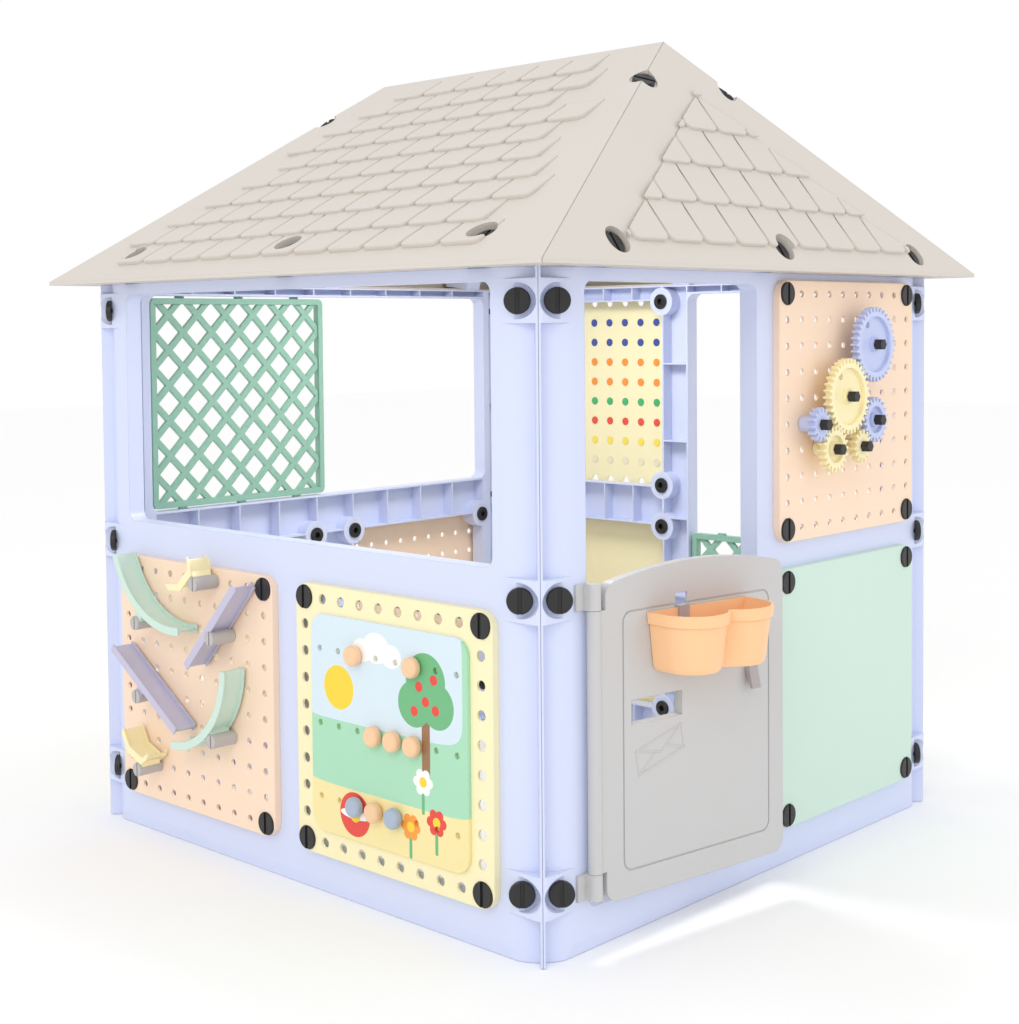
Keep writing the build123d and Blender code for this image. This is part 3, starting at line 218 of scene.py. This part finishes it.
# ------------------------------------------------------------------ roof
# Four moulded slopes of warm stone grey. Each is a smooth shell with rows of shallow overlapping
# shingles in relief, a smooth band along eave and hip, and sunk pockets for the screws.
stone = moulded("stone_roof", (0.665, 0.615, 0.56), roughness=0.5, mottle=0.06)
finish_nodes(stone, "roof_front", "roof_right", "roof_back", "roof_left")
eave = 0.576
eave_top = 0.942
ridge_top = 1.312
ridge_half = 0.330
rise = ridge_top - eave_top
end_run = eave - ridge_half
shingle_gap = 0.004
shingle_thick = 0.0070
shingle_corner = 0.012


def shingle_template(width, height, thick, corner):
    """One shingle: flat, thin at its top and thick at its rounded lower end, lying in XY."""
    shape = bmesh.new()
    bmesh.ops.create_cube(shape, size=1)
    bmesh.ops.scale(shape, vec=(width, height, thick), verts=shape.verts)
    bmesh.ops.translate(shape, vec=(0, height / 2, thick / 2), verts=shape.verts)
    lower = [e for e in shape.edges if all(v.co.y < 0.001 for v in e.verts)
             and abs(e.verts[0].co.z - e.verts[1].co.z) > thick / 2]
    bmesh.ops.bevel(
        shape, geom=lower, offset=corner, segments=4, profile=0.5, affect="EDGES", material=-1,
    )
    top = [e for e in shape.edges if all(v.co.z > thick * 0.9 for v in e.verts)
           and not all(v.co.y > height * 0.99 for v in e.verts)]
    bmesh.ops.bevel(
        shape, geom=top, offset=thick * 0.35, segments=2, profile=0.5, affect="EDGES", material=-1,
    )
    for vert in shape.verts:
        if vert.co.z > thick * 0.3:
            vert.co.z -= vert.co.y / height * thick * 0.8
    mesh = bpy.data.meshes.new("shingle")
    shape.to_mesh(mesh)
    shape.free()
    return mesh


def shingled_slope(name, turn, run, rows, first, pitch, width, edge, ragged):
    """A slope's shingles. turn faces its eave outwards, and edge is the bare band by the hips."""
    length = hypot(run, rise)
    tilt = atan2(rise, run)
    template = shingle_template(
        width - shingle_gap, pitch + shingle_gap, shingle_thick, shingle_corner,
    )
    field = bmesh.new()
    for row in range(rows):
        low = first + row * pitch
        middle = low + pitch / 2
        if run == eave:
            half = eave - end_run * middle / length
        else:
            half = eave * (1 - middle / length)
        stagger = width / 2 if row % 2 else 0
        count = int(eave / width) + 2
        for column in range(-count, count + 1):
            across = column * width + stagger
            reach = abs(across) + width / 2
            limit = half - edge
            if ragged and reach > limit - (column % 2) * width * 0.4 * (row % 2):
                continue
            if not ragged and abs(across) - width / 2 > limit + width:
                continue
            start = len(field.verts)
            field.from_mesh(template)
            field.verts.ensure_lookup_table()
            bmesh.ops.translate(field, vec=(across, low, 0), verts=field.verts[start:])
    # on to the slope: x across, y up the slope, z out of it
    outward = Matrix.Rotation(turn, 4, "Z")
    lie = outward @ Matrix.Translation((0, -eave, eave_top)) @ Matrix.Rotation(tilt, 4, "X")
    bmesh.ops.transform(field, matrix=lie, verts=field.verts)
    if not ragged:
        # trim along the bare bands beside both hips
        apex = Vector((0, -ridge_half, ridge_top))
        for side in (-1, 1):
            inward = Vector((-side * end_run, -eave, 0)).normalized()
            cut = outward.to_3x3() @ (apex + inward * edge)
            bmesh.ops.bisect_plane(
                field, geom=field.verts[:] + field.edges[:] + field.faces[:], dist=1e-6,
                plane_co=cut, plane_no=outward.to_3x3() @ inward, clear_inner=True,
            )
        bmesh.ops.holes_fill(field, edges=[e for e in field.edges if e.is_boundary], sides=0)
    bpy.data.meshes.remove(template)
    return piece_from(field, name, stone, "cabin", smooth=False)


side_rows = dict(rows=10, first=0.046, pitch=0.0615, width=0.078, edge=0.055, ragged=True)
end_rows = dict(rows=5, first=0.036, pitch=0.0735, width=0.082, edge=0.058, ragged=False)
slopes = [
    shingled_slope("shingles_front", 0, end_run, **end_rows),
    shingled_slope("shingles_right", pi / 2, eave, **side_rows),
    shingled_slope("shingles_back", pi, end_run, **end_rows),
    shingled_slope("shingles_left", -pi / 2, eave, **side_rows),
]

# round cutters that keep the screw pockets open through the shingles
pocket_radius = 0.0225
pocket_depth = 0.03
side_pocket_out = 0.509
side_pocket_spread = 0.410
end_pocket_out = 0.556
end_pocket_spread = 0.400
side_pocket_height = ridge_top - side_pocket_out * rise / eave
end_pocket_height = eave_top + (eave - end_pocket_out) * rise / end_run
pocket_places = []
for step in (-1, 0, 1):
    for side in (-1, 1):
        place = (side * side_pocket_out, step * side_pocket_spread, side_pocket_height)
        pocket_places.append((place, Vector((side * rise, 0, eave))))
for step in (-1, 0, 1):
    for side in (-1, 1):
        place = (step * end_pocket_spread, side * end_pocket_out, end_pocket_height)
        pocket_places.append((place, Vector((0, side * rise, end_run))))
cutters = bmesh.new()
for place, outward in pocket_places:
    turn = outward.to_track_quat("Z", "Y").to_matrix().to_4x4()
    bmesh.ops.create_cone(
        cutters, cap_ends=True, segments=40, radius1=pocket_radius, radius2=pocket_radius,
        depth=pocket_depth, matrix=Matrix.Translation(place) @ turn,
    )
cutter_mesh = bpy.data.meshes.new("pocket_cutters")
cutters.to_mesh(cutter_mesh)
cutters.free()
cutter = bpy.data.objects.new("pocket_cutters", cutter_mesh)
scene.collection.objects.link(cutter)
for slope in slopes:
    cut = slope.modifiers.new("pockets", "BOOLEAN")
    cut.operation = "DIFFERENCE"
    cut.solver = "EXACT"
    cut.use_self = True
    cut.object = cutter
    bpy.context.view_layer.update()
    evaluated = slope.evaluated_get(bpy.context.evaluated_depsgraph_get())
    shaped = bpy.data.meshes.new_from_object(evaluated)
    slope.modifiers.clear()
    slope.data = shaped
bpy.data.objects.remove(cutter)

# ------------------------------------------------------------------ boards and lattices
# Square moulded boards with a rolled edge, held at their corners: pierced ones in peach and pale
# yellow, plain ones in mint and pale yellow, and open lattices in sage green.
peach = moulded("peach_board", (0.96, 0.735, 0.56), roughness=0.42)
butter = moulded("butter_board", (0.94, 0.86, 0.54), roughness=0.42)
mint = moulded("mint_board", (0.61, 0.78, 0.69), roughness=0.42)
sage = moulded("sage_lattice", (0.29, 0.52, 0.41), roughness=0.42)
finish_nodes(peach, "board_gears", "board_ramps", "board_peach_back")
finish_nodes(butter, "board_mosaic", "board_yellow_plain", "board_yellow_back", "board_picture")
finish_nodes(mint, "board_mint")
finish_nodes(sage, "lattice_window", "lattice_door")

# ------------------------------------------------------------------ screws and nuts
# Broad slotted screws and sleeve nuts of black nylon, with a coarser grain than the frame. The
# gears' axles are of the same plastic.
nylon = moulded("black_nylon", (0.022, 0.021, 0.022), roughness=0.38, grain=500)
finish_nodes(nylon, "corner_screws", "board_screws", "board_nuts", "roof_screws", "gear_axles")

# ------------------------------------------------------------------ half door
# A warm grey half door with an arched top, a grooved panel, a letter slot and an embossed
# envelope. Its pull tab and the planter's hook are a darker mauve grey.
door_grey = moulded("door_grey", (0.58, 0.575, 0.575), roughness=0.42)
mauve_grey = moulded("mauve_grey", (0.44, 0.40, 0.41), roughness=0.42)
finish_nodes(door_grey, "door_panel", "door_hinges", "hinge_pins")
finish_nodes(mauve_grey, "door_handle", "planter_hook")

# the hinge axis, and how far the door stands open at rest
hinge = Vector((-0.424, -0.530, 0))
ajar = radians(8)
along_door = Vector((cos(ajar), -sin(ajar), 0))
out_of_door = Vector((-sin(ajar), -cos(ajar), 0))
door_face = 0.007


def on_door(across, out, up):
    """A place on the door: across from the hinge axis, out of its hinge plane, and up."""
    return hinge + along_door * across + out_of_door * out + Vector((0, 0, up))


def raised_bar(shape, start, end, width, proud):
    """A rounded bar that stands proud of the door between two of its points."""
    run = Vector(end) - Vector(start)
    turn = atan2(run.y, run.x)
    bar = bmesh.new()
    bmesh.ops.create_cube(bar, size=1)
    bmesh.ops.scale(bar, vec=(run.length + width * 0.8, width, proud * 2), verts=bar.verts)
    rims = [edge for edge in bar.edges if all(vert.co.z > 0 for vert in edge.verts)]
    bmesh.ops.bevel(
        bar, geom=rims, offset=proud * 0.8, segments=3, profile=0.5, affect="EDGES", material=-1,
    )
    bmesh.ops.rotate(bar, matrix=Matrix.Rotation(turn, 3, "Z"), verts=bar.verts)
    middle = (Vector(start) + Vector(end)) / 2
    bmesh.ops.translate(bar, vec=(*middle, 0), verts=bar.verts)
    for vert in bar.verts:
        vert.co = on_door(vert.co.x, door_face + vert.co.z, vert.co.y)
    loose = bpy.data.meshes.new("bar")
    bar.to_mesh(loose)
    bar.free()
    shape.from_mesh(loose)
    bpy.data.meshes.remove(loose)


envelope = bmesh.new()
bar_width = 0.0026
bar_proud = 0.0011
top_left, top_right = (0.070, 0.268), (0.158, 0.293)
low_right, low_left = (0.164, 0.260), (0.076, 0.234)
flap = (0.118, 0.260)
for start, end in (
    (top_left, top_right), (top_right, low_right), (low_right, low_left), (low_left, top_left),
    (top_left, flap), (top_right, flap), (low_left, (0.108, 0.262)), (low_right, (0.129, 0.268)),
):
    raised_bar(envelope, start, end, bar_width, bar_proud)
piece_from(envelope, "door_envelope", door_grey, "door", smooth=False)

# ------------------------------------------------------------------ planter
# A two-lobed trough for toy plants in apricot plastic, blown thin with a flared rim band. It hangs
# on the door by a mauve hook that clips over its back wall.
apricot = moulded("apricot_planter", (1.0, 0.60, 0.32), roughness=0.36)
lobe_radius = 0.056
lobe_depth = 0.030
valley_depth = 0.064
lobe_ends = (0.091, 0.292)
trough_middle = sum(lobe_ends) / 2
trough_back = 0.008
trough_floor, trough_rim = 0.377, 0.460
band = 0.018
wall_thick = 0.0025


def trough_ring(shape, height, inset, back=0.0):
    """One level of the trough: a flat back and two lobes that meet in a soft valley."""
    radius = lobe_radius - inset
    lobe = (lobe_ends[0] + lobe_radius, lobe_depth)
    left = [(lobe[0] - radius, back)]
    for step in range(15):
        angle = radians(180 - step * 9.5)
        left.append((lobe[0] + radius * cos(angle), lobe[1] + radius * sin(angle)))
    plan = left + [(trough_middle, valley_depth - inset)]
    plan += [(2 * trough_middle - across, out) for across, out in reversed(left)]
    ring = [shape.verts.new(on_door(across, trough_back + out, height)) for across, out in plan]
    return [shape.edges.new((ring[k - 1], ring[k])) for k in range(len(ring))]


trough = bmesh.new()
# up the outside to the rim, then down the inside
levels = [
    trough_ring(trough, trough_floor, 0.0165),
    trough_ring(trough, trough_floor + 0.004, 0.0135),
    trough_ring(trough, trough_floor + 0.010, 0.0120),
    trough_ring(trough, trough_rim - band, 0.0055),
    trough_ring(trough, trough_rim - band + 0.0015, 0.0020),
    trough_ring(trough, trough_rim - 0.002, 0.0004),
    trough_ring(trough, trough_rim, 0.0012),
    trough_ring(trough, trough_rim, 0.0020 + wall_thick, wall_thick),
    trough_ring(trough, trough_rim - band, 0.0055 + wall_thick, wall_thick),
    trough_ring(trough, trough_floor + 0.010, 0.0120 + wall_thick, wall_thick),
    trough_ring(trough, trough_floor + wall_thick, 0.0165 + wall_thick, wall_thick),
]
for lower, upper in zip(levels, levels[1:]):
    bmesh.ops.bridge_loops(trough, edges=lower + upper)
bmesh.ops.contextual_create(trough, geom=levels[0])
bmesh.ops.contextual_create(trough, geom=levels[-1])
new_planter = piece_from(trough, "planter_trough", apricot, "planter_box")
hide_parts("planter")
new_planter.data.set_sharp_from_angle(angle=radians(35))

# ------------------------------------------------------------------ gears
# Six thick gears in cream and periwinkle that turn on black six-sided knobs. The two cups on the
# ramp board are of the cream plastic too.
cream = moulded("cream_gear", (0.96, 0.86, 0.52), roughness=0.34, soften=0.0008)
periwinkle = moulded("periwinkle_gear", (0.56, 0.62, 0.88), roughness=0.34, soften=0.0008)
finish_nodes(cream, "gear_big_yellow", "gear_middle_yellow", "gear_small_yellow",
             "cup_high", "cup_low")
finish_nodes(periwinkle, "gear_big_blue", "gear_middle_blue", "gear_small_blue")

# ------------------------------------------------------------------ ball ramps
# Troughs of mint and mauve plastic on grey barrels that turn in the board's holes, so that each
# can be tilted by hand.
mauve = moulded("mauve_ramp", (0.55, 0.53, 0.69), roughness=0.36, soften=0.0008)
barrel_grey = moulded("barrel_grey", (0.50, 0.48, 0.47), roughness=0.42)
finish_nodes(mauve, "ramp_mauve_high", "ramp_mauve_low")
finish_nodes(mint, "ramp_mint_long", "ramp_mint_short")
finish_nodes(barrel_grey, "barrel_mint_long", "barrel_cup_high", "barrel_mauve_high",
             "barrel_mauve_low", "barrel_mint_short", "barrel_cup_low")

# ------------------------------------------------------------------ picture sheet and beads
# A printed plastic sheet with sky, grass and sand and simple toy shapes in flat inks, and turned
# beads that plug into its rows of holes.
sheet_low, sheet_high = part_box("picture_sheet")
sheet_middle = (sheet_low[1] + sheet_high[1]) / 2
sheet_reach = (sheet_high[1] - sheet_low[1]) / 2
sheet_rise = (sheet_high[2] - sheet_low[2]) / 2


def printed_sheet():
    """A toy landscape: sky, lawn and sand, with a sun, a cloud, a tree, a ball and flowers."""
    material = moulded("printed_sheet", (1, 1, 1), roughness=0.32)
    nodes, links = material.node_tree.nodes, material.node_tree.links
    place = nodes.new("ShaderNodeTexCoord")
    picture = nodes.new("ShaderNodeRGB")
    picture.outputs[0].default_value = (0.92, 0.78, 0.38, 1)
    ink = picture.outputs[0]

    def squared(vector):
        """Each part of a vector times itself."""
        node = nodes.new("ShaderNodeVectorMath")
        node.operation = "MULTIPLY"
        for socket in node.inputs[:2]:
            links.new(vector, socket)
        return node.outputs[0]

    def print_shape(ink, colour, across, up, half_width, half_height, square=False):
        """Prints an ellipse or a block. Places and sizes are shares of the half sheet."""
        centred = nodes.new("ShaderNodeMapping")
        centred.vector_type = "TEXTURE"
        centred.inputs["Location"].default_value = (
            0, sheet_middle - across * sheet_reach, sheet_low[2] + (up + 1) * sheet_rise,
        )
        centred.inputs["Scale"].default_value = (
            1e6, half_width * sheet_reach, half_height * sheet_rise,
        )
        links.new(place.outputs["Object"], centred.inputs["Vector"])
        reach = nodes.new("ShaderNodeVectorMath")
        reach.operation = "LENGTH"
        outline = centred.outputs[0]
        if square:
            outline = squared(squared(outline))
        links.new(outline, reach.inputs[0])
        inside = nodes.new("ShaderNodeMath")
        inside.operation = "LESS_THAN"
        inside.inputs[1].default_value = 1
        links.new(reach.outputs["Value"], inside.inputs[0])
        layer = nodes.new("ShaderNodeMix")
        layer.data_type = "RGBA"
        links.new(inside.outputs[0], layer.inputs["Factor"])
        links.new(ink, layer.inputs["A"])
        layer.inputs["B"].default_value = (*colour, 1)
        return layer.outputs["Result"]

    lawn, sky, white = (0.40, 0.72, 0.50), (0.68, 0.80, 0.88), (0.95, 0.95, 0.95)
    leaf, bark, sun = (0.16, 0.48, 0.22), (0.33, 0.17, 0.08), (0.98, 0.66, 0.04)
    red, orange = (0.80, 0.07, 0.05), (0.96, 0.34, 0.05)
    ink = print_shape(ink, lawn, 0.0, 0.36, 1.2, 0.90, square=True)
    ink = print_shape(ink, sky, -0.12, 0.58, 1.06, 0.52, square=True)
    ink = print_shape(ink, sun, -0.62, 0.36, 0.20, 0.20)
    for across, up, size in ((-0.30, 0.74, 0.13), (-0.12, 0.78, 0.17), (0.07, 0.73, 0.13)):
        ink = print_shape(ink, white, across, up, size, size * 0.8)
    ink = print_shape(ink, bark, 0.50, 0.08, 0.05, 0.34, square=True)
    for across, up, size in ((0.36, 0.36, 0.20), (0.64, 0.38, 0.20), (0.50, 0.58, 0.24)):
        ink = print_shape(ink, leaf, across, up, size, size)
    for across, up in ((0.42, 0.52), (0.60, 0.60), (0.36, 0.30), (0.62, 0.34), (0.50, 0.40)):
        ink = print_shape(ink, red, across, up, 0.045, 0.045)
    ink = print_shape(ink, red, -0.42, -0.76, 0.20, 0.20)
    ink = print_shape(ink, white, -0.42, -0.76, 0.19, 0.045)
    ink = print_shape(ink, sun, -0.42, -0.76, 0.07, 0.07)
    for middle, height, petal in ((0.30, -0.72, orange), (0.62, -0.62, red), (0.46, -0.30, white)):
        ink = print_shape(ink, leaf, middle, height - 0.14, 0.018, 0.14, square=True)
        for turn in range(6):
            angle = radians(60 * turn)
            ink = print_shape(
                ink, petal, middle + 0.075 * cos(angle), height + 0.075 * sin(angle), 0.045, 0.045,
            )
        ink = print_shape(ink, sun, middle, height, 0.045, 0.045)
    skin = next(node for node in nodes if node.type == "GROUP")
    links.new(ink, skin.inputs["Colour"])
    return material


finish_nodes(printed_sheet(), "picture_sheet")
beech = moulded("beech_bead", (0.93, 0.60, 0.36), roughness=0.35, mottle=0.35)
slate_bead = moulded("slate_bead", (0.40, 0.48, 0.60), roughness=0.35, mottle=0.2)
finish_nodes(slate_bead, "bead_blue_left", "bead_blue_right")
finish_nodes(beech, "bead_peach_low", "bead_middle_left", "bead_middle", "bead_middle_right",
             "bead_top_left", "bead_top_right")

# ------------------------------------------------------------------ mosaic pegs
# Rows of pegs in six colours that fill the middle of the upper board beside the side doorway.
# The colour changes halfway between two rows.
peg_low, peg_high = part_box("mosaic_pegs")
peg_gap = 0.011


def striped_pegs():
    """Pegs of one colour in each row."""
    material = moulded("mosaic_pegs", (1, 1, 1), roughness=0.3)
    nodes, links = material.node_tree.nodes, material.node_tree.links
    place = nodes.new("ShaderNodeTexCoord")
    split = nodes.new("ShaderNodeSeparateXYZ")
    links.new(place.outputs["Object"], split.inputs[0])
    level = nodes.new("ShaderNodeMapRange")
    level.inputs["From Min"].default_value = peg_low[2] - peg_gap
    level.inputs["From Max"].default_value = peg_high[2] + peg_gap
    links.new(split.outputs["Z"], level.inputs["Value"])
    rows = nodes.new("ShaderNodeValToRGB")
    rows.color_ramp.interpolation = "CONSTANT"
    colours = [
        (0.85, 0.78, 0.55), (0.95, 0.75, 0.10), (0.80, 0.08, 0.05), (0.06, 0.45, 0.15),
        (0.92, 0.30, 0.04), (0.92, 0.30, 0.04), (0.05, 0.08, 0.35), (0.05, 0.08, 0.35),
    ]
    for row, colour in enumerate(colours):
        if row < 2:
            element = rows.color_ramp.elements[row]
            element.position = row / len(colours)
        else:
            element = rows.color_ramp.elements.new(row / len(colours))
        element.color = (*colour, 1)
    links.new(level.outputs[0], rows.inputs[0])
    skin = next(node for node in nodes if node.type == "GROUP")
    links.new(rows.outputs["Color"], skin.inputs["Colour"])
    return material


finish_nodes(striped_pegs(), "mosaic_pegs")
